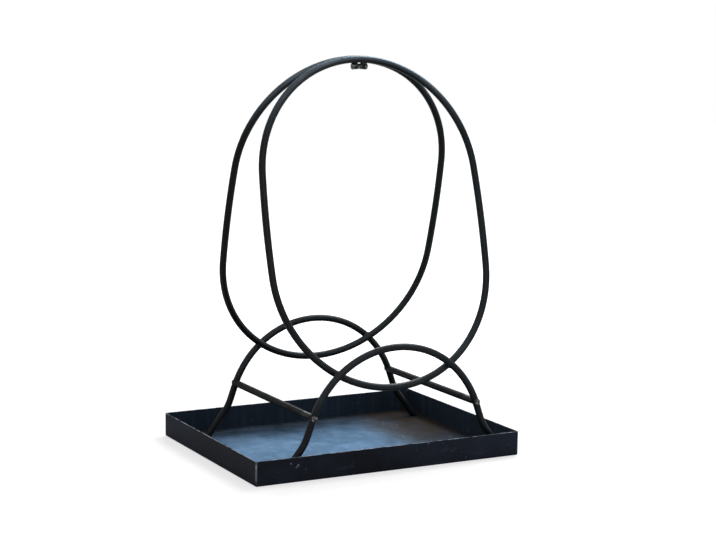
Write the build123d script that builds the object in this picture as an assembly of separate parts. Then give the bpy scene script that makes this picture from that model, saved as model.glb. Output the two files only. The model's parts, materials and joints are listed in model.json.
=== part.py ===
from build123d import *
import os
from math import cos, radians, sin, sqrt, tan

# Round log holder: two leaning hoops of round bar on arched legs, standing loose in a low sheet tray.
# Millimetres. The origin is the middle of the tray's underside. X runs along the tray, Y to the back, Z up.

# Tray, folded up from one sheet
tray_length = 500.0
tray_depth = 390.0
tray_height = 42.0
sheet = 1.5
fold_radius = 1.25  # inside the fold between floor and wall
corner_radius = 3.0  # outside each standing corner, ground round after welding
rim_round = 0.4
corner_bead = 4.0  # how far the weld inside a standing corner reaches along each wall
corner_bead_drop = 3.0  # from the rim down to the top of that weld
bead_hollow = 0.9  # radius that hollows the weld's face, as a share of its reach

# Round bar, the same stock for hoops, legs and stretchers
bar_radius = 6.0

# Hoop, measured along the middle of its bar and in its own leaning plane
crown_radius = 203.5
base_radius = 205.0
centre_distance = 153.0  # from the middle of the crown arc to the middle of the base arc
side_radius = 1850.0  # the sides bow out very slightly
lean = 15.0  # degrees from upright
crown_height = 676.0  # above the tray's floor
crown_gap = 0.2  # between the two bars at the crown

# Leg arch, measured along the middle of its bar and in its own upright plane
arch_height = 202.5  # above the tray's floor
arch_radius = 167.0
arch_sweep = 70.5  # degrees of arc on each side of the top
leg_straight = 27.0
flare_radius = 76.0
foot_angle = 52.0  # degrees between the last run of a leg and the floor
crossing_gap = 0.05  # between hoop and arch where they cross
crossing_bead = 7.2  # radius of the weld around a crossing
bead_core = 2.0  # radius of the space that the weld leaves round the touching point

# Stretchers and their bolts
stretcher_height = 95.5  # above the tray's floor
bolt_radius = 3.0
bolt_play = 0.25  # round the bolt in a drilled leg or lug
thread_play = 0.05  # round the bolt in a tapped stretcher
seat_depth = 1.0  # of the flat that is faced into the leg on each side
seat_play = 0.4  # round a bolt head or stretcher end in its flat
bolt_reach = 20.0  # of a bolt into its stretcher
tapping_spare = 3.0  # hole depth past the bolt's end
tapping_chamfer = 0.8
head_radius = 5.5
head_height = 3.4
head_edge = 0.9  # straight edge under the dome
socket_width = 4.0  # across flats
socket_depth = 2.0
bolt_chamfer = 0.6

# Hinge under the crown: one lug on each hoop, side by side on a cross bolt
hinge_drop = 12.2  # from the middle of the crown bars down to the bolt
hinge_shift = 3.5  # the pair of lugs sits a little to the right
lug_thickness = 6.0
lug_eye_radius = 5.2
lug_neck_radius = 3.6
spacer_length = 7.5
spacer_radius = 4.6
hex_width = 10.0  # across flats, bolt head and nut
hex_turned = 0.97  # radius of the turned face on a head or nut, as a share of half its width
hex_head_height = 4.0
nut_height = 5.0
bolt_end = 1.5  # thread showing past the nut
lug_bead = 1.8  # how far the weld stands out past the lug
lug_bead_round = 0.9  # radius of the weld's rounded edges, as a share of that
lug_bead_play = 0.3  # between that weld and the bolt's head, nut or spacer

# Where the loose rack stands in the tray, from the tray's middle
rack_shift_x = 20.0
rack_shift_y = -15.0

floor = sheet
crown_z = floor + crown_height
arch_z = floor + arch_height
stretcher_z = floor + stretcher_height
crown_y = bar_radius + crown_gap / 2
hinge_z = crown_z - hinge_drop
place = Pos(rack_shift_x, rack_shift_y, 0)


def tray_shell(length, depth, bottom, corner, fold):
    """A block with round standing corners and a round lower edge."""
    height = tray_height - bottom
    block = Pos(0, 0, bottom + height / 2) * Box(length, depth, height)
    block = fillet(block.edges().filter_by(Axis.Z), corner)
    return fillet(block.faces().sort_by(Axis.Z)[0].edges(), fold)


def make_tray():
    outer = tray_shell(tray_length, tray_depth, 0, corner_radius, fold_radius + sheet)
    inner_length = tray_length - 2 * sheet
    inner_depth = tray_depth - 2 * sheet
    inner = tray_shell(inner_length, inner_depth, sheet, corner_radius - sheet, fold_radius)
    pan = outer - inner
    return fillet(pan.faces().sort_by(Axis.Z)[-1].edges(), rim_round), inner


def make_corner_welds(inner):
    """Four concave beads, one up the inside of each standing corner."""
    corner_x = tray_length / 2 - sheet
    corner_y = tray_depth / 2 - sheet
    bottom = sheet + fold_radius
    top = tray_height - corner_bead_drop
    beads = []
    for side_x in (-1, 1):
        for side_y in (-1, 1):
            corner = Rectangle(corner_bead, corner_bead)
            corner -= Pos(-corner_bead / 2, -corner_bead / 2) * Circle(corner_bead * bead_hollow)
            bead = extrude(corner, top - bottom)
            bead = Pos(corner_x - corner_bead / 2, corner_y - corner_bead / 2, bottom) * bead & inner
            if side_x < 0:
                bead = mirror(bead, about=Plane.YZ)
            if side_y < 0:
                bead = mirror(bead, about=Plane.XZ)
            beads.append(bead)
    return beads


def hoop_line():
    """The closed line of a hoop, with the middle of the crown at 0, 0 and Y up."""
    crown_centre = Vector(0, -crown_radius)
    base_centre = Vector(0, -crown_radius - centre_distance)
    to_crown = side_radius - crown_radius
    to_base = side_radius - base_radius
    rise = (to_base**2 - to_crown**2 + centre_distance**2) / (2 * centre_distance)
    side_centre = base_centre + Vector(-sqrt(to_base**2 - rise**2), rise)
    shoulder = crown_centre + (crown_centre - side_centre).normalized() * crown_radius
    hip = base_centre + (base_centre - side_centre).normalized() * base_radius
    waist = side_centre + ((shoulder + hip) * 0.5 - side_centre).normalized() * side_radius
    crown = ThreePointArc((-shoulder.X, shoulder.Y), (0, 0), shoulder)
    right = ThreePointArc(shoulder, waist, hip)
    base = ThreePointArc(hip, (0, base_centre.Y - base_radius), (-hip.X, hip.Y))
    left = ThreePointArc((-hip.X, hip.Y), (-waist.X, waist.Y), (-shoulder.X, shoulder.Y))
    return Wire([crown, right, base, left])


def bar_along(line):
    """The round bar that follows a line."""
    start = Plane(origin=line @ 0, z_dir=line % 0)
    return sweep(start * Circle(bar_radius), path=line)


def leg_stations():
    """The ends of the parts of a leg's line, as x and drop from the top, with its slope in degrees."""
    slope = radians(arch_sweep)
    foot = radians(foot_angle)
    arc_end = (arch_radius * sin(slope), arch_radius * (1 - cos(slope)))
    straight_end = (arc_end[0] + leg_straight * cos(slope), arc_end[1] + leg_straight * sin(slope))
    flare_x = flare_radius * (sin(slope) - sin(foot))
    flare_drop = flare_radius * (cos(foot) - cos(slope))
    flare_end = (straight_end[0] + flare_x, straight_end[1] + flare_drop)
    return arc_end, straight_end, flare_end


def leg_line():
    """The open line of a leg arch from foot to foot, with the top at 0, 0 and Y up."""
    arc_end, straight_end, flare_end = leg_stations()
    below_floor = 2 * bar_radius
    last_drop = arch_height + below_floor
    foot_x = flare_end[0] + (last_drop - flare_end[1]) / tan(radians(foot_angle))
    slope = radians(arch_sweep)
    middle = radians((arch_sweep + foot_angle) / 2)
    flare_centre = Vector(
        straight_end[0] + flare_radius * sin(slope), -straight_end[1] + flare_radius * cos(slope)
    )
    flare_middle = flare_centre - Vector(sin(middle), cos(middle)) * flare_radius
    right = [
        Line((arc_end[0], -arc_end[1]), (straight_end[0], -straight_end[1])),
        ThreePointArc(
            (straight_end[0], -straight_end[1]), flare_middle, (flare_end[0], -flare_end[1])
        ),
        Line((flare_end[0], -flare_end[1]), (foot_x, -last_drop)),
    ]
    left = [mirror(edge, about=Plane.YZ).edge() for edge in reversed(right)]
    top = ThreePointArc((-arc_end[0], -arc_end[1]), (0, 0), (arc_end[0], -arc_end[1]))
    return Wire(left + [top] + right)


def leg_x(drop):
    """How far out the middle of a leg is at a drop from the top of the arch."""
    arc_end, straight_end, flare_end = leg_stations()
    if drop <= arc_end[1]:
        return sqrt(arch_radius**2 - (arch_radius - drop) ** 2)
    if drop <= straight_end[1]:
        return arc_end[0] + (drop - arc_end[1]) / tan(radians(arch_sweep))
    if drop <= flare_end[1]:
        height = flare_radius * cos(radians(arch_sweep)) + drop - straight_end[1]
        centre_x = straight_end[0] + flare_radius * sin(radians(arch_sweep))
        return centre_x - sqrt(flare_radius**2 - height**2)
    return flare_end[0] + (drop - flare_end[1]) / tan(radians(foot_angle))


def find_crossing():
    """Where a hoop and an arch cross, seen from the front, and how far apart in Y they must stand."""
    base_centre_z = crown_z - (crown_radius + centre_distance) * cos(radians(lean))
    half_height = base_radius * cos(radians(lean))
    inside, outside = 0.0, radians(arch_sweep)
    for _ in range(50):
        turn = (inside + outside) / 2
        x = arch_radius * sin(turn)
        z = arch_z - arch_radius * (1 - cos(turn))
        if (x / base_radius) ** 2 + ((z - base_centre_z) / half_height) ** 2 < 1:
            inside = turn
        else:
            outside = turn
    along_arch = Vector(cos(turn), 0, -sin(turn))
    across = (base_centre_z - z) / half_height
    rise = x / base_radius
    along_hoop = Vector(across, -rise * sin(radians(lean)), rise * cos(radians(lean)))
    square_on = along_arch.cross(along_hoop).normalized()
    return x, z, (2 * bar_radius + crossing_gap) / abs(square_on.Y)


crossing_x, crossing_z, crossing_step = find_crossing()
hoop_y = crown_y + (crown_z - crossing_z) * tan(radians(lean))
arch_y = hoop_y + crossing_step
stretcher_x = leg_x(arch_z - stretcher_z)
seat_y = arch_y + bar_radius - seat_depth
stretcher_half = arch_y - bar_radius + seat_depth
back_lug_x = hinge_shift - (spacer_length + lug_thickness) / 2
front_lug_x = hinge_shift + (spacer_length + lug_thickness) / 2


def make_front_hoop():
    leaning = Plane(
        origin=(0, -crown_y, crown_z),
        x_dir=(1, 0, 0),
        z_dir=(0, -cos(radians(lean)), sin(radians(lean))),
    )
    return bar_along(leaning * hoop_line())


def make_front_arch():
    """The arch bar, cut flat on the floor, faced and drilled for the stretcher bolts."""
    upright = Plane(origin=(0, -arch_y, arch_z), x_dir=(1, 0, 0), z_dir=(0, -1, 0))
    arch = bar_along(upright * leg_line())
    below = Box(2 * tray_length, 8 * bar_radius, 8 * bar_radius)
    arch -= Pos(0, -arch_y, floor - 4 * bar_radius) * below
    for side in (-1, 1):
        hole_at = Pos(side * stretcher_x, -arch_y, stretcher_z) * Rot(90, 0, 0)
        arch -= hole_at * Cylinder(bolt_radius + bolt_play, 4 * bar_radius)
        for seat_radius, turned in ((head_radius, 0), (bar_radius, 180)):
            pocket = Cylinder(seat_radius + seat_play, 2 * bar_radius)
            outward = bar_radius - seat_depth + bar_radius
            arch -= hole_at * Rot(turned, 0, 0) * Pos(0, 0, outward) * pocket
    return arch


def make_crossing_welds(hoop, arch):
    """A lump of weld round each crossing, filling the corners between the two bars."""
    middle_y = -(hoop_y + arch_y) / 2
    lump = Rot(90, 0, 0) * (Sphere(crossing_bead) - Cylinder(bead_core, 4 * crossing_bead))
    bead = Pos(crossing_x, middle_y, crossing_z) * lump - hoop - arch
    return [bead, mirror(bead, about=Plane.YZ)]


def make_stretcher(side):
    rod = Rot(90, 0, 0) * Cylinder(bar_radius, 2 * stretcher_half)
    depth = bolt_reach + tapping_spare
    mouth = bolt_radius + thread_play
    for end in (-1, 1):
        hole = Cylinder(mouth, depth) + Pos(0, 0, depth / 2 - tapping_chamfer / 2) * Cone(
            mouth, mouth + tapping_chamfer, tapping_chamfer
        )
        rod -= Rot(-90 * end, 0, 0) * Pos(0, 0, stretcher_half - depth / 2) * hole
    return Pos(side * stretcher_x, 0, stretcher_z) * rod


def make_domed_bolt():
    """A bolt along Z with its seat at 0, its shank below and its domed head above."""
    length = 2 * (bar_radius - seat_depth) + bolt_reach
    shank = Pos(0, 0, -length / 2) * Cylinder(bolt_radius, length)
    shank = chamfer(shank.edges().group_by(Axis.Z)[0], bolt_chamfer)
    dome = head_height - head_edge
    dome_radius = (head_radius**2 + dome**2) / (2 * dome)
    head = Pos(0, 0, head_height / 2) * Cylinder(head_radius, head_height)
    head &= Pos(0, 0, head_height - dome_radius) * Sphere(dome_radius)
    socket = extrude(RegularPolygon(socket_width / 2, 6, major_radius=False), socket_depth)
    return shank + head - Pos(0, 0, head_height - socket_depth) * socket


def make_front_bolts():
    bolt = Rot(90, 0, 0) * make_domed_bolt()
    return [Pos(side * stretcher_x, -seat_y, stretcher_z) * bolt for side in (-1, 1)]


def make_lug(lug_x, toward, hoops):
    """A flat lug in the plane across the bolt, from the bolt up to one crown bar."""
    rise = hinge_drop
    reach = toward * crown_y
    eye = Circle(lug_eye_radius)
    neck = Pos(reach, rise) * Circle(lug_neck_radius)
    plate = make_hull(eye.edges() + neck.edges()) - Circle(bolt_radius + bolt_play)
    side_on = Plane(origin=(lug_x, 0, hinge_z), x_dir=(0, 1, 0), z_dir=(1, 0, 0))
    return side_on * extrude(plate, lug_thickness / 2, both=True) - hoops


def make_lug_weld(lug_x, toward, lug, hoops):
    """The bead around a lug where it meets its crown bar."""
    length = sqrt(crown_y**2 + hinge_drop**2)
    share = 1 - bar_radius / length
    meet_y = toward * crown_y * share
    meet_z = hinge_z + hinge_drop * share
    lump = Rot(0, 90, 0) * Cylinder(lug_neck_radius + lug_bead / 2, lug_thickness + 2 * lug_bead)
    lump = fillet(lump.edges(), lug_bead * lug_bead_round)
    round_bolt = Cylinder(hex_width / 2 / cos(radians(30)) + lug_bead_play, 4 * lug_thickness)
    bead = Pos(lug_x, meet_y, meet_z) * lump - hoops - lug
    return bead - Pos(lug_x, 0, hinge_z) * Rot(0, 90, 0) * round_bolt


def hex_block(height):
    """A hexagon along X, from 0 towards +X, with its outer corners turned off."""
    block = extrude(RegularPolygon(hex_width / 2, 6, major_radius=False), height)
    corner = hex_width / 2 / cos(radians(30))
    turned = Cylinder(corner, height, align=(Align.CENTER, Align.CENTER, Align.MIN))
    turned = chamfer(turned.edges().group_by(Axis.Z)[-1], corner - hex_width / 2 * hex_turned)
    return Rot(0, 90, 0) * (block & turned)


def make_hinge():
    """The cross bolt, its nut and the spacer between the lugs."""
    grip = spacer_length + 2 * lug_thickness
    left = hinge_shift - grip / 2
    right = hinge_shift + grip / 2
    length = grip + nut_height + bolt_end
    shank = Pos(0, 0, length / 2) * Cylinder(bolt_radius, length)
    shank = Rot(0, 90, 0) * chamfer(shank.edges().group_by(Axis.Z)[-1], bolt_chamfer)
    bolt = Pos(left, 0, hinge_z) * (shank + mirror(hex_block(hex_head_height), about=Plane.YZ))
    bore = Rot(0, 90, 0) * Cylinder(bolt_radius + thread_play, 4 * nut_height)
    nut = Pos(right, 0, hinge_z) * (hex_block(nut_height) - bore)
    tube = Cylinder(spacer_radius, spacer_length) - Cylinder(bolt_radius + bolt_play, spacer_length)
    spacer = Pos(hinge_shift, 0, hinge_z) * Rot(0, 90, 0) * tube
    return bolt, nut, spacer


def to_back(shape):
    return mirror(shape, about=Plane.XZ)


def solids_of(shapes):
    found = []
    for shape in shapes:
        found += shape.solids()
    return found


def save(name, *shapes):
    solids = solids_of(shapes)
    whole = solids[0] if len(solids) == 1 else Compound(children=solids)
    export_step(whole, f"parts/{name}.step")


os.makedirs("parts", exist_ok=True)

tray_pan, tray_inside = make_tray()
save("tray_pan", tray_pan)
save("tray_corner_welds", *make_corner_welds(tray_inside))

front_hoop = make_front_hoop()
front_arch = make_front_arch()
back_hoop = to_back(front_hoop)
hoops = front_hoop + back_hoop
crossing_welds = make_crossing_welds(front_hoop, front_arch)
front_bolts = make_front_bolts()
back_lug = make_lug(back_lug_x, 1, hoops)
front_lug = make_lug(front_lug_x, -1, hoops)
lug_welds = [
    make_lug_weld(back_lug_x, 1, back_lug, hoops),
    make_lug_weld(front_lug_x, -1, front_lug, hoops),
]
hinge_bolt, hinge_nut, hinge_spacer = make_hinge()

save("front_hoop", place * front_hoop)
save("back_hoop", place * back_hoop)
save("front_leg_arch", place * front_arch)
save("back_leg_arch", place * to_back(front_arch))
save("front_crossing_welds", *[place * bead for bead in crossing_welds])
save("back_crossing_welds", *[place * to_back(bead) for bead in crossing_welds])
save("left_stretcher", place * make_stretcher(-1))
save("right_stretcher", place * make_stretcher(1))
save("front_stretcher_bolts", *[place * bolt for bolt in front_bolts])
save("back_stretcher_bolts", *[place * to_back(bolt) for bolt in front_bolts])
save("back_hinge_lug", place * back_lug)
save("front_hinge_lug", place * front_lug)
save("hinge_lug_welds", *[place * bead for bead in lug_welds])
save("hinge_bolt", place * hinge_bolt)
save("hinge_nut", place * hinge_nut)
save("hinge_spacer", place * hinge_spacer)

print("crossing at x", round(crossing_x, 2), "z", round(crossing_z, 2))
print("hoop to arch, centre to centre", round(crossing_step, 2))
print("arch y", round(arch_y, 2), "stretcher x", round(stretcher_x, 2), "half", round(stretcher_half, 2))
print("hoop to arch clear by", round(front_hoop.distance_to(front_arch), 3))
print("hoop to hoop clear by", round(front_hoop.distance_to(back_hoop), 3))
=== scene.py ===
# %% [markdown]
# # A round log holder in Blender
# The holder is two leaning hoops of round steel bar on arched legs. It stands loose in a low tray of
# folded sheet. The pieces come in at their real size as a fixed frame. They could be drawn again by eye,
# but then nothing would promise that they still fit, so the frame keeps every shape and place. This
# lesson adds the looks: satin black on the bars, blue-black sheet with scuffs, worn bolts, hoops that
# are rolled smooth, and weld beads with ripples.

import json
import math

import bpy
from mathutils import Matrix, Vector


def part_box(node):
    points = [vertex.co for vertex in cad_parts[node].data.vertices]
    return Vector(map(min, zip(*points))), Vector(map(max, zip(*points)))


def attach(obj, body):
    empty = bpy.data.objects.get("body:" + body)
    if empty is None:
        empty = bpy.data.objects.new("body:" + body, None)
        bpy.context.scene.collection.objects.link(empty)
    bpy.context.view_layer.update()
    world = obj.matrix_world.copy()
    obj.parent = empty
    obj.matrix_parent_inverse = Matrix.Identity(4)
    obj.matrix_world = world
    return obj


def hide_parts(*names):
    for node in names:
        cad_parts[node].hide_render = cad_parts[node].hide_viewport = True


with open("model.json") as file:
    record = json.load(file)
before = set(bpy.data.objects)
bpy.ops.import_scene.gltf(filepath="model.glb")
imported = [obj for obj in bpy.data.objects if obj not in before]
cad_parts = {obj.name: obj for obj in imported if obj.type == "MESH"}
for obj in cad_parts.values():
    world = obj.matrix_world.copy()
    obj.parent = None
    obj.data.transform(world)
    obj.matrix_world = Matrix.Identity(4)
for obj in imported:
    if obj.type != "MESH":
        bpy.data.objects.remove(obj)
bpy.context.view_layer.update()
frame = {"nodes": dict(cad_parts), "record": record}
nodes = frame["nodes"]
print("triangles", {name: len(node.data.polygons) for name, node in nodes.items()})

# %% [markdown]
# ## Writing shader maths as sums
# A material is a graph of nodes. It could be wired by hand, one link at a time, but sums are easier to
# read than a list of links. So a small class wraps a socket, and turns +, -, *, > and < into Math nodes.
# It works from both sides, so that 1 - mask works as well as mask - 1.


# %% A socket that can be added, taken away, multiplied and compared
class Signal:
    """A value that changes over a surface, or from one ray of light to another."""

    def __init__(self, graph, socket):
        self.graph = graph
        self.socket = socket

    def maths(self, operation, *values):
        return self.graph.node("ShaderNodeMath", {"operation": operation}, values)

    def __add__(self, other):
        return self.maths("ADD", self, other)

    def __radd__(self, other):
        return self.maths("ADD", other, self)

    def __sub__(self, other):
        return self.maths("SUBTRACT", self, other)

    def __rsub__(self, other):
        return self.maths("SUBTRACT", other, self)

    def __mul__(self, other):
        return self.maths("MULTIPLY", self, other)

    def __rmul__(self, other):
        return self.maths("MULTIPLY", other, self)

    def __gt__(self, other):
        return self.maths("GREATER_THAN", self, other)

    def __lt__(self, other):
        return self.maths("LESS_THAN", self, other)

    def size(self):
        return self.maths("ABSOLUTE", self)

    def highest(self, other):
        return self.maths("MAXIMUM", self, other)

    def root(self):
        return self.maths("SQRT", self)

    def step(self, low, high):
        """0 below low, 1 above high, and smooth between."""
        values = {"Value": self, "From Min": low, "From Max": high}
        return self.graph.node("ShaderNodeMapRange", {"interpolation_type": "SMOOTHSTEP"}, values)


# %% [markdown]
# ## One method for every other node
# Each node is made the same way: its type, then its settings, then what goes into its sockets, which is
# either a link or a plain value. That could be written out each time, in four or five lines a node. One
# method that does it keeps every finish short, and the world's nodes can use it too.


# %% A graph of nodes
class Graph:
    """The nodes of a material or of the world."""

    def __init__(self, tree):
        self.tree = tree

    def node(self, kind, settings, values, output=0):
        made = self.tree.nodes.new(kind)
        for name, setting in settings.items():
            setattr(made, name, setting)
        pairs = values.items() if isinstance(values, dict) else enumerate(values)
        for name, value in pairs:
            self.feed(made.inputs[name], value)
        return Signal(self, made.outputs[output])

    def feed(self, socket, value):
        if isinstance(value, Signal):
            self.tree.links.new(value.socket, socket)
        else:
            socket.default_value = value


def colour(red, green, blue):
    return (red, green, blue, 1.0)


black = colour(0.0, 0.0, 0.0)
white = colour(1.0, 1.0, 1.0)
print("black", black, "white", white)

# %% [markdown]
# ## A finish
# A finish is a material with one Principled shader. Its patterns read the Object coordinates, which are
# metres in the frame here. A UV map would do as well, but it would have to be unwrapped for each piece,
# while Object coordinates run on from piece to piece and stay in place when the holder is moved.


# %% A node material with one Principled shader
class Finish(Graph):
    """A finish that pieces can be dressed in."""

    def __init__(self, name):
        self.material = bpy.data.materials.new(name)
        self.material.use_nodes = True
        super().__init__(self.material.node_tree)
        self.shader = self.tree.nodes["Principled BSDF"]
        self.place = self.node("ShaderNodeTexCoord", {}, {}, "Object")

    def noise(self, scale, detail=4.0, roughness=0.55, place=None):
        values = {"Vector": place or self.place, "Scale": scale, "Detail": detail, "Roughness": roughness}
        return self.node("ShaderNodeTexNoise", {}, values)

    def stretched(self, scale, turn=(0.0, 0.0, 0.0)):
        values = {"Vector": self.place, "Scale": scale, "Rotation": turn}
        return self.node("ShaderNodeMapping", {}, values)

    def axes(self):
        parts = self.node("ShaderNodeSeparateXYZ", {}, {"Vector": self.place})
        return [Signal(self, output) for output in parts.socket.node.outputs]

    def blend(self, mask, low, high):
        """A colour between low and high. Mix keeps colours, where a Math node would turn them grey."""
        return self.node("ShaderNodeMix", {"data_type": "RGBA"}, {0: mask, 6: low, 7: high}, 2)

    def bump(self, height, distance, strength=1.0):
        return self.node("ShaderNodeBump", {}, {"Height": height, "Distance": distance, "Strength": strength})

    def set(self, **values):
        for name, value in values.items():
            self.feed(self.shader.inputs[name.replace("_", " ")], value)


# %% [markdown]
# ## Where the bars get a painted sheen
# The hoops, legs and stretchers are mild steel bar under a thin satin black. A painted highlight goes on the
# upward faces of the bars: bluish metal, full at the crown, a little on the lower part of the hoops, and
# faint everywhere else. The stretchers sit low between the frames, and they get painted shade: no sheen and
# less brown rub, and their paint is rougher too. This could be painted on by hand. It is worked out instead
# from how high a place is and which way it faces, so that it is the same on every bar and needs no picture.

# %% Masks for the painted sheen and for the stretchers' painted shade
crown_from, crown_full = 0.54, 0.66
base_from, base_full, base_fades, base_gone = 0.10, 0.13, 0.19, 0.27
sheen_anywhere, sheen_at_base = 0.05, 0.14


def corners(name):
    """A node's lowest and highest corners, as vectors."""
    return [Vector(corner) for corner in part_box(name)]


bar_paint = Finish("bar_paint")
along, deep, high = bar_paint.axes()
facing = bar_paint.node("ShaderNodeTexCoord", {}, {}, "Normal")
upward = bar_paint.node("ShaderNodeSeparateXYZ", {}, {"Vector": facing}, "Z").step(-0.55, 0.75)
drift = bar_paint.noise(22.0, detail=3.0).step(0.35, 0.68)
crown_zone = high.step(crown_from, crown_full)
base_zone = high.step(base_from, base_full) - high.step(base_fades, base_gone)
_, stretcher_end = corners("left_stretcher")
# Painted shade on the stretchers between the frames: no sheen and less brown rub; their roughness is real.
stretcher_shade = (deep.size() < stretcher_end.y) * (high < stretcher_end.z + 0.001)
# Painted highlight: a bluish metal sheen on the upward faces, full at the crown, faint elsewhere.
sheen_zones = sheen_anywhere + crown_zone * (1.0 - sheen_anywhere) + base_zone * sheen_at_base
painted_sheen = upward * sheen_zones * (0.66 + drift * 0.34) * (1.0 - stretcher_shade)
print("stretchers end at", stretcher_end, "nodes", len(bar_paint.tree.nodes))

# %% [markdown]
# ## Black paint on the round bar
# Thin paint keeps the skin of the steel below it, so the surface is a little uneven and its shine comes
# and goes. A plain black would look like plastic. So the black turns lighter and greener towards the
# right, which is painted light from the right, with a random drift; brown shows in small rubbed places,
# and a fine bump stands for the skin.

# %% Bar paint
satin_black = colour(0.0040, 0.0038, 0.0040)
lit_side_black = colour(0.0070, 0.0105, 0.0112)
rubbed_brown = colour(0.026, 0.021, 0.018)
painted_sheen_colour = colour(0.165, 0.205, 0.240)
skin = bar_paint.noise(420.0, detail=6.0, roughness=0.62)
rub = bar_paint.noise(95.0, detail=7.0, roughness=0.7).step(0.60, 0.74)
# Painted light from the right: the black grows lighter and greener towards +x, with a random drift.
lit_right_side = along.step(-0.05, 0.20) * (0.45 + drift * 0.55)
blacks = bar_paint.blend(lit_right_side, satin_black, lit_side_black)
rubbed_blacks = bar_paint.blend(rub * (0.5 - stretcher_shade * 0.4), blacks, rubbed_brown)
# Base colour and Metallic carry the painted sheen.
bar_paint.set(
    Base_Color=bar_paint.blend(painted_sheen, rubbed_blacks, painted_sheen_colour),
    Roughness=0.30 + drift * 0.10 + rub * 0.14 + painted_sheen * 0.12 + stretcher_shade * 0.26,
    Metallic=painted_sheen * 0.85,
    Normal=bar_paint.bump(skin, 0.00004, 0.6),
    Specular_IOR_Level=0.24,
    Specular_Tint=colour(0.80, 0.91, 1.0),
)
print("bar paint nodes", len(bar_paint.tree.nodes))

# %% [markdown]
# ## Where the tray is worn
# The tray is one sheet folded up on four sides. Its rim and its standing corners are the first places to
# lose paint, and its inside wears in another way than its outside. Each could have a material of its
# own, but the tray is one mesh of loose triangles. So masks tell the places apart by the tray's own
# sizes, and they stay in place when the holder is turned or moved.

# %% Masks for the inside, the floor, the rim and the corners
tray_sheet = 0.0015
rim_wear = 0.0009
corner_wear = 0.0032
tray_low, tray_high = corners("tray_pan")
sheet_paint = Finish("sheet_paint")
across, back, up = sheet_paint.axes()
in_x = across.size() < tray_high.x - tray_sheet / 2
in_y = back.size() < tray_high.y - tray_sheet / 2
inside = in_x * in_y * (up > tray_sheet / 2)
floor_face = inside * (up < tray_sheet * 1.4)
rim = up.step(tray_high.z - rim_wear, tray_high.z - 0.2 * rim_wear)
end_x = across.size().step(tray_high.x - corner_wear, tray_high.x - 0.3 * corner_wear)
end_y = back.size().step(tray_high.y - corner_wear, tray_high.y - 0.3 * corner_wear)
worn = rim.highest(end_x * end_y) * sheet_paint.noise(70.0, detail=6.0).step(0.34, 0.62)
print("tray", tray_low, tray_high)

# %% [markdown]
# ## Clouds, streaks, scuffs and chips
# Years of use leave marks of several kinds on the sheet. Paint and blued steel are cloudy, what slides
# in and out leaves short scuffs, water leaves streaks down the walls, and knocks leave pale chips. A
# photograph of old steel could carry all of them, but it would also fix its light and its size. Noise
# gives each kind its own scale, and a Mapping node stretches it for scuffs and streaks.

# %% Marks on the sheet
scuff_place = sheet_paint.stretched((14.0, 190.0, 60.0), (0.0, 0.0, 0.55))
cross_place = sheet_paint.stretched((170.0, 18.0, 60.0), (0.0, 0.0, 0.35))
streak_place = sheet_paint.stretched((55.0, 55.0, 4.0))
clouds = sheet_paint.noise(6.5, detail=5.0, roughness=0.6).step(0.34, 0.66)
mottle = sheet_paint.noise(38.0, detail=6.0, roughness=0.65).step(0.36, 0.70)
grain = sheet_paint.noise(520.0, detail=4.0)
scuffs = sheet_paint.noise(1.0, detail=5.0, roughness=0.75, place=scuff_place).step(0.58, 0.72)
cross_scuffs = sheet_paint.noise(1.0, detail=5.0, roughness=0.75, place=cross_place).step(0.62, 0.76)
scraped = scuffs.highest(cross_scuffs)
streaks = sheet_paint.noise(1.0, detail=4.0, roughness=0.6, place=streak_place).step(0.48, 0.72)
chip_patches = sheet_paint.noise(14.0, detail=2.0).step(0.50, 0.62)
chips = sheet_paint.noise(140.0, detail=2.0).step(0.70, 0.73) * chip_patches
print("mark nodes", len(sheet_paint.tree.nodes))

# %% [markdown]
# ## Rust and the painted reflection on the tray's floor
# A brown patch in the back right of the floor is partly rust and partly a painted warm reflection. The front
# and left of the floor is where the painted blue-grey reflection lies, and it fades towards the back and the
# right. Two hard rectangles would show their edges, so noise is added to the coordinates first, and both
# patches get a wandering edge.

# %% Rust with a painted reflection, and the painted reflection's area
wander = sheet_paint.noise(9.0, detail=4.0, roughness=0.6) * 0.10
brown_x = (across + wander).step(0.12, 0.23)
brown_y = (back + wander).step(-0.02, 0.10)
brown_spots = sheet_paint.noise(24.0, detail=6.0, roughness=0.65).step(0.34, 0.60)
# Partly rust, partly a painted warm reflection in the back right of the floor.
rust_and_reflection = brown_x * brown_y * (0.45 + brown_spots * 0.55) * floor_face
# Area of the painted reflection: the front and left of the floor, fading towards the back and the right.
reflection_area = (1.0 - (across + wander).step(0.13, 0.26)) * (1.0 - (back + wander).step(0.18, 0.26))
print("rust and rub nodes", len(sheet_paint.tree.nodes))

# %% [markdown]
# ## Blue-black sheet for the tray
# Outside, the sheet is black paint. Inside, the walls have bluish streaks, and the floor is dark steel under
# a cloudy blue-grey painted reflection. The marks go on top in the order in which they came: scuffs, rust
# with its painted warm reflection, chips, and last the bright worn edges. Mixing them one after another,
# each by its mask, keeps one material for the whole tray.

# %% Put the sheet's colours together
painted_black, clouded_black = colour(0.0066, 0.0064, 0.0090), colour(0.0165, 0.0195, 0.0320)
dull_steel, reflected_blue = colour(0.010, 0.013, 0.018), colour(0.120, 0.180, 0.262)
streaked_blue = colour(0.0310, 0.0520, 0.0820)
scraped_steel = colour(0.17, 0.22, 0.29)
brown_of_rust_and_reflection = colour(0.030, 0.017, 0.008)
chip_grey = colour(0.60, 0.63, 0.65)
worn_edge = colour(0.46, 0.50, 0.55)
painted = sheet_paint.blend(clouds, painted_black, clouded_black)
walls = sheet_paint.blend(inside * (0.45 + streaks * 0.55), painted, streaked_blue)
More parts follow.
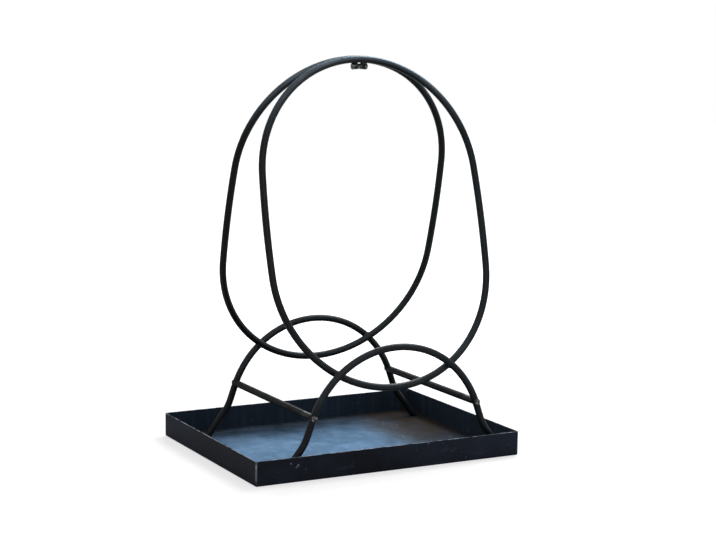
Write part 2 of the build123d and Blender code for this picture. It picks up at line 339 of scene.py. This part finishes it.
# Painted reflection on the floor: a cloudy blue-grey sheen, strongest in its area, dark steel elsewhere.
sheen = (0.10 + clouds * 0.46 + mottle * 0.40) * (0.12 + reflection_area * 0.88)
sheet_colour = sheet_paint.blend(floor_face, walls, sheet_paint.blend(sheen, dull_steel, reflected_blue))
marks = (
    (scraped * 0.30 * (0.3 + floor_face * 0.7), scraped_steel),
    (rust_and_reflection * 0.92, brown_of_rust_and_reflection),
    (chips * (0.25 + floor_face * reflection_area * 0.75), chip_grey),
    (worn * 0.85, worn_edge),
)
for mask, tone in marks:
    sheet_colour = sheet_paint.blend(mask, sheet_colour, tone)
print("marks", len(marks), "nodes", len(sheet_paint.tree.nodes))

# %% Sheet paint
floor_metal = floor_face * (0.35 + reflection_area * 0.55) * (1.0 - rust_and_reflection * 0.8)
sheet_paint.set(
    Base_Color=sheet_colour,
    Roughness=0.58 + floor_face * (0.20 - reflection_area * 0.40) + clouds * 0.06 - scraped * 0.05 + rust_and_reflection * 0.06,
    Metallic=floor_metal.highest(worn * 0.7),
    Normal=sheet_paint.bump(clouds * 0.25 + grain * 0.042, 0.0006),
    Specular_IOR_Level=0.20,
    Specular_Tint=colour(0.56, 0.76, 1.0),
)
print("sheet paint nodes", len(sheet_paint.tree.nodes))

# %% [markdown]
# ## Bolts, nut and spacer
# The domed bolts and the small hinge are blackened steel. A spanner or key wears the black off the high
# spots, so bright metal shows in patches. They could be plain grey at this size, but in a close view the
# patches tell steel from paint.

# %% Fastener steel
blackened, bright_steel = colour(0.020, 0.020, 0.022), colour(0.380, 0.385, 0.395)
fastener = Finish("fastener_steel")
patch = fastener.noise(260.0, detail=5.0).step(0.46, 0.62)
fastener.set(
    Base_Color=fastener.blend(patch, blackened, bright_steel),
    Roughness=0.42 - patch * 0.16,
    Metallic=0.25 + patch * 0.7,
    Normal=fastener.bump(fastener.noise(900.0, detail=3.0), 0.0001, 0.4),
)
print("fastener nodes", len(fastener.tree.nodes))

# %% [markdown]
# ## Weld metal
# The beads were painted with the bars, so they could share the bars' paint. But a weld is rougher, with
# spatter and a trace of brown, so it gets a finish of its own with a coarser bump.

# %% Weld paint
weld_black, weld_brown = colour(0.010, 0.010, 0.011), colour(0.034, 0.028, 0.025)
weld_paint = Finish("weld_paint")
spatter = weld_paint.noise(380.0, detail=5.0, roughness=0.7)
weld_paint.set(
    Base_Color=weld_paint.blend(spatter.step(0.45, 0.7), weld_black, weld_brown),
    Roughness=0.38 + spatter * 0.2,
    Normal=weld_paint.bump(spatter, 0.0005, 0.6),
)
print("weld paint nodes", len(weld_paint.tree.nodes))

# %% [markdown]
# ## Dress the frame's pieces
# Every piece of the frame names what it is made of. A list by hand would go wrong as soon as a piece is
# added, so one loop reads the name of the stuff from the frame's record and puts the right finish on.

# %% One finish for each kind of stuff
finish_of_slot = {
    "bar_steel": bar_paint,
    "tray_steel": sheet_paint,
    "fastener_steel": fastener,
    "weld_metal": weld_paint,
}
for entry in frame["record"]["subparts"]:
    node = nodes[entry["node"]]
    node.data.materials.clear()
    node.data.materials.append(finish_of_slot[entry["material_slot"]].material)
    print("dressed", entry["node"], "in", entry["material_slot"])

# %% [markdown]
# ## Where a hoop begins and ends
# A real hoop is one bar rolled round a former until its ends meet, and the joint is ground away. It
# leans, so that the two frames meet at the crown. The highest and the lowest point of its middle line
# could be typed in as numbers. They are read from the frame's box instead, so that the new hoop lies in
# the old one, with no fitting.

# %% The crown and the foot of a hoop
bar_radius = 0.006


def hoop_ends(node, crown_is_behind):
    """The middle of the bar at the crown and at the foot."""
    low, high = corners(node)
    near, far = low.y + bar_radius, high.y - bar_radius
    crown_y, foot_y = (far, near) if crown_is_behind else (near, far)
    centre_x = (low.x + high.x) / 2
    crown = Vector((centre_x, crown_y, high.z - bar_radius))
    foot = Vector((centre_x, foot_y, low.z + bar_radius))
    print(node, "crown", crown, "foot", foot)
    return crown, foot


front_ends = hoop_ends("front_hoop", crown_is_behind=True)
back_ends = hoop_ends("back_hoop", crown_is_behind=False)

# %% [markdown]
# ## Where a hoop bends
# A hoop isn't a true circle: a tighter bend at the crown and one at the base are joined by nearly
# straight sides. It could be drawn as a Bezier curve with a round bevel, but such a curve only comes
# near an arc. So the middle of each bend is worked out, as with compasses: a side's middle lies where
# two circles about the crown's and the base's middles cross.

# %% The bends of a hoop, from the crown round to the crown
crown_bend, base_bend, side_bend = 0.2035, 0.2050, 1.850
crown_steps, base_steps, side_steps = 60, 120, 14
sideways = Vector((1.0, 0.0, 0.0))


def hoop_bends(crown, foot):
    """Each bend's middle, its angle and its steps."""
    rise = (crown - foot).normalized()
    crown_middle, base_middle = crown - crown_bend * rise, foot + base_bend * rise
    apart = (crown - foot).length - crown_bend - base_bend
    to_crown, to_base = side_bend - crown_bend, side_bend - base_bend
    side_up = (apart**2 - to_crown**2 + to_base**2) / (2 * apart)
    side_out = math.sqrt(to_base**2 - side_up**2)
    upper, lower = math.atan2(apart - side_up, side_out), math.atan2(side_up, side_out)
    side_height = base_middle + side_up * rise
    crown_half = (crown_middle, math.pi / 2 - upper, crown_steps)
    left_side = (side_height - side_out * sideways, upper + lower, side_steps)
    right_side = (side_height + side_out * sideways, upper + lower, side_steps)
    return crown_half, left_side, (base_middle, math.pi - 2 * lower, base_steps), right_side, crown_half


for middle, angle, steps in hoop_bends(*front_ends):
    print("bend about", middle, "by", round(math.degrees(angle), 2), "degrees in", steps, "steps")

# %% [markdown]
# ## Selecting with care
# An operator acts on all that is selected, and the frame's pieces come in selected. Each could be
# deselected by name, but two helpers are surer: one starts every step from a clean selection, and one
# opens the active piece with all of its mesh selected.

# %% Two helpers for selecting
origin = (0.0, 0.0, 0.0)


def select_only(*things):
    bpy.ops.object.select_all(action="DESELECT")
    for thing in things:
        thing.select_set(True)
    if things:
        bpy.context.view_layer.objects.active = things[0]


def edit_all():
    bpy.ops.object.mode_set(mode="EDIT")
    bpy.ops.mesh.select_all(action="SELECT")


select_only()
print("selected", len(bpy.context.selected_objects))

# %% [markdown]
# ## Hoops rolled from one bar
# The frame's own hoops show their flats in a highlight, and loose triangles can't be shaded smooth. So
# the bar is rolled again: a circle for the bar's section is spun round the middle of each bend in turn.
# The last ring meets the first, and merging the two closes the bar.

# %% Roll the hoops
bar_sides = 40
merge_reach = 0.0001


def rolled_hoop(name, node, crown, foot):
    bend_axis = sideways.cross((crown - foot).normalized())
    select_only()
    bpy.ops.mesh.primitive_circle_add(vertices=bar_sides, radius=bar_radius, location=origin)
    hoop = bpy.context.object
    hoop.name = name
    edit_all()
    bpy.ops.transform.rotate(value=math.pi / 2, orient_axis="Y", center_override=origin)
    bpy.ops.transform.translate(value=crown)
    for middle, angle, steps in hoop_bends(crown, foot):
        bpy.ops.mesh.spin(steps=steps, angle=angle, center=middle, axis=bend_axis)
    bpy.ops.mesh.select_all(action="SELECT")
    bpy.ops.mesh.remove_doubles(threshold=merge_reach)
    bpy.ops.mesh.normals_make_consistent(inside=False)
    bpy.ops.object.mode_set(mode="OBJECT")
    bpy.ops.object.shade_smooth()
    hoop.data.materials.append(bar_paint.material)
    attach(hoop, "rack")
    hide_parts(node)
    lowest = min(vertex.co.z for vertex in hoop.data.vertices)
    print(name, "faces", len(hoop.data.polygons), "lowest", round(lowest, 5))


rolled_hoop("front_rolled_hoop", "front_hoop", *front_ends)
rolled_hoop("back_rolled_hoop", "back_hoop", *back_ends)

# %% [markdown]
# ## Weld beads
# A run of weld is a row of small pools that froze one on top of the next, which leaves its ripples. A
# tube with a bump would look right only from afar. So one round drop is copied along the run, a little
# at a time, each a bit larger or smaller than the last. Every run is made where it belongs, in edit
# mode, so that its object's origin stays at the frame's.

# %% A row of drops
drop_segments, drop_rings = 20, 12
drop_swell, drop_beat = 0.10, 2.4


def row_of_drops(name, spots, drop):
    select_only()
    bpy.ops.mesh.primitive_uv_sphere_add(
        segments=drop_segments, ring_count=drop_rings, radius=drop, location=origin
    )
    run = bpy.context.object
    run.name = name
    edit_all()
    last = Vector(origin)
    for number, spot in enumerate(spots):
        if number:
            bpy.ops.mesh.duplicate()
        bpy.ops.transform.translate(value=spot - last)
        size = 1.0 + drop_swell * math.sin(number * drop_beat)
        bpy.ops.transform.resize(value=(size, size, size), center_override=spot)
        last = spot
    bpy.ops.object.mode_set(mode="OBJECT")
    print(name, "drops", len(spots))
    return run


# %% [markdown]
# ## One skin over the drops
# The drops still cut through each other. A boolean union would leave hard creases between them, while
# real pools flow together. Voxel Remesh melts them into one closed skin, and a light Smooth settles the
# steps that it leaves.


# %% Melt the drops into one skin
def melted(run, skin):
    melt = run.modifiers.new("melt", "REMESH")
    melt.mode = "VOXEL"
    melt.voxel_size = skin
    settle = run.modifiers.new("settle", "SMOOTH")
    settle.factor = 0.5
    settle.iterations = 2
    for modifier in (melt.name, settle.name):
        bpy.ops.object.modifier_apply(modifier=modifier)
    bpy.ops.object.shade_smooth()
    run.data.materials.clear()
    run.data.materials.append(weld_paint.material)
    print(run.name, "faces", len(run.data.polygons))
    return run


# %% [markdown]
# ## Copies of a run
# The same weld comes back in several places, so it is made once and copied. An object could be copied
# and simply moved, but then its origin would move too. Here the copy gets a mesh of its own, which is
# moved in edit mode. At the end the copies are joined into one piece.


# %% Copy a run, and join runs
def moved_copy(run, step):
    select_only(run)
    bpy.ops.object.duplicate(linked=False)
    copy = bpy.context.object
    edit_all()
    bpy.ops.transform.translate(value=step)
    bpy.ops.object.mode_set(mode="OBJECT")
    return copy


def joined(name, runs):
    select_only(*runs)
    bpy.ops.object.join()
    whole = bpy.context.object
    whole.name = name
    print(name, "runs", len(runs), "faces", len(whole.data.polygons))
    return whole


# %% [markdown]
# ## Welds where hoops and legs cross
# Each hoop touches its legs at two places. The welder went once round each, so the bead is a ring that
# fills the corners between the two bars. The ring could be cut to both bars with booleans, but the part
# of it inside them is hidden anyway. Both frames have the same ring, so one is made and copied.

# %% Crossing welds
ring_radius = 0.0047
ring_drop = 0.0024
ring_skin = 0.00035
ring_count = 20


def ring_middles(name):
    low, high = corners(name)
    reach = (high.z - low.z) / 2
    y, z = (low.y + high.y) / 2, (low.z + high.z) / 2
    return [Vector((low.x + reach, y, z)), Vector((high.x - reach, y, z))]


left, right = ring_middles("front_crossing_welds")
turns = [math.tau * number / ring_count for number in range(ring_count)]
ring = [left + ring_radius * Vector((math.cos(turn), 0.0, math.sin(turn))) for turn in turns]
first_ring = melted(row_of_drops("crossing_ring", ring, ring_drop), ring_skin)
back_rings = [moved_copy(first_ring, middle - left) for middle in ring_middles("back_crossing_welds")]
front_beads = joined("front_crossing_beads", [first_ring, moved_copy(first_ring, right - left)])
back_beads = joined("back_crossing_beads", back_rings)
for beads, node in ((front_beads, "front_crossing_welds"), (back_beads, "back_crossing_welds")):
    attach(beads, "rack")
    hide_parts(node)

# %% [markdown]
# ## Welds inside the tray's corners
# The four walls are bent up separately, so each corner is closed by a weld on the inside. It runs
# straight up the corner and stops just below the rim. Four runs could be made one by one, but the tray
# is the same on both sides, so one run is made and three copies go across, back and both.

# %% Corner welds
corner_drop = 0.0023
corner_skin = 0.0004
corner_pitch = 0.0017
corner_in = tray_sheet + 0.0013
weld_low, weld_high = corners("tray_corner_welds")
run_length = weld_high.z - weld_low.z - 2 * corner_drop
pools = round(run_length / corner_pitch)
corner = Vector((tray_low.x + corner_in, tray_low.y + corner_in, weld_low.z + corner_drop))
climb = [corner + Vector((0.0, 0.0, run_length * number / pools)) for number in range(pools + 1)]
corner_runs = [melted(row_of_drops("corner_run", climb, corner_drop), corner_skin)]
over = Vector((-2 * corner.x, 0.0, 0.0))
behind = Vector((0.0, -2 * corner.y, 0.0))
for step in (over, behind, over + behind):
    corner_runs.append(moved_copy(corner_runs[0], step))
corner_beads = joined("tray_corner_beads", corner_runs)
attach(corner_beads, "tray")
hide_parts("tray_corner_welds")

# %% [markdown]
# ## A pale floor
# The holder stands on plain pale paper. White paint under strong lamps would light the holder from below
# as well, so the paper is a mid grey that still takes the shadow, and only the camera sees it glow up to
# white. The glow is a little weaker near the holder, so that the shadow isn't washed out there.

# %% Floor
floor_size = 14.0
glow_near, glow_more = 0.60, 0.40
glow_from, glow_full = 0.35, 1.2
select_only()
bpy.ops.mesh.primitive_plane_add(size=floor_size, location=origin)
floor = bpy.context.object
floor.name = "studio_floor"
paper = Finish("floor_paper")
seen = paper.node("ShaderNodeLightPath", {}, {}, "Is Camera Ray")
aside, ahead, _ = paper.axes()
distance = (aside * aside + ahead * ahead).root()
glow = seen * (glow_near + distance.step(glow_from, glow_full) * glow_more)
paper.set(
    Base_Color=colour(0.58, 0.58, 0.58),
    Roughness=0.9,
    Emission_Color=paper.blend(glow, black, white),
    Emission_Strength=1.0,
)
floor.data.materials.append(paper.material)
print("floor", floor_size, "m, nodes", len(paper.tree.nodes))

# %% [markdown]
# ## The world round it
# The world is white to the camera. To the holder it is a lower, even light from all sides, a little
# stronger in its reflections. A picture of real surroundings would give livelier reflections, but it
# would also tint the paint with colours of its own.

# %% World
world_light, world_in_gloss = 0.42, 0.48
world = bpy.data.worlds.new("studio_world")
bpy.context.scene.world = world
world.use_nodes = True
sky = Graph(world.node_tree)
background = sky.tree.nodes["Background"]
to_camera = sky.node("ShaderNodeLightPath", {}, {}, "Is Camera Ray")
to_gloss = sky.node("ShaderNodeLightPath", {}, {}, "Is Glossy Ray")
on_the_holder = world_light + to_gloss * (world_in_gloss - world_light)
sky.feed(background.inputs["Strength"], to_camera.highest(on_the_holder))
sky.feed(background.inputs["Color"], white)
print("world nodes", len(sky.tree.nodes))

# %% [markdown]
# ## Soft lights
# One large soft light stands high at the back right, as a window would. A second one above the crown
# draws the highlight along the bars, and a weak one fills the front. Small lamps would be brighter on
# the bars, but they would draw hard shadows on the floor.


# %% Three area lights
def soft_light(name, place, aim, size, watts):
    bpy.ops.object.light_add(type="AREA", location=place)
    lamp = bpy.context.object
    lamp.name = name
    lamp.data.size = size
    lamp.data.energy = watts
    lamp.rotation_euler = (Vector(aim) - Vector(place)).to_track_quat("-Z", "Y").to_euler()
    print(name, "at", place, "watts", watts)


middle_of_holder = (0.0, 0.0, 0.35)
soft_light("window_back_right", (1.15, 2.15, 1.30), middle_of_holder, 1.4, 15.0)
soft_light("fill_front", (-0.4, -2.6, 1.9), middle_of_holder, 1.8, 8.0)
soft_light("skylight", (1.10, 0.55, 1.75), (0.0, 0.0, 0.5), 0.9, 22.0)

# %% [markdown]
# ## Camera
# The camera stands at the front left, a little above the crown, with a long lens. It could be aimed at
# the holder with a constraint, but its three turns are known, so they are set as one matrix.

# %% Camera
camera_place = (-1.4221, -2.7419, 0.7633)
turn_right, look_down, tilt = math.radians(27.98), math.radians(8.30), math.radians(0.71)
camera_data = bpy.data.cameras.new("camera")
camera = bpy.data.objects.new("camera", camera_data)
bpy.context.scene.collection.objects.link(camera)
camera_data.sensor_width = 36.0
camera_data.lens = 90.2
aim = Matrix.Rotation(-turn_right, 4, "Z") @ Matrix.Rotation(math.pi / 2 - look_down, 4, "X")
camera.matrix_world = Matrix.Translation(camera_place) @ aim @ Matrix.Rotation(tilt, 4, "Z")
bpy.context.scene.camera = camera
bpy.context.scene.view_settings.view_transform = "Standard"
print("camera at", camera_place, "lens", camera_data.lens)
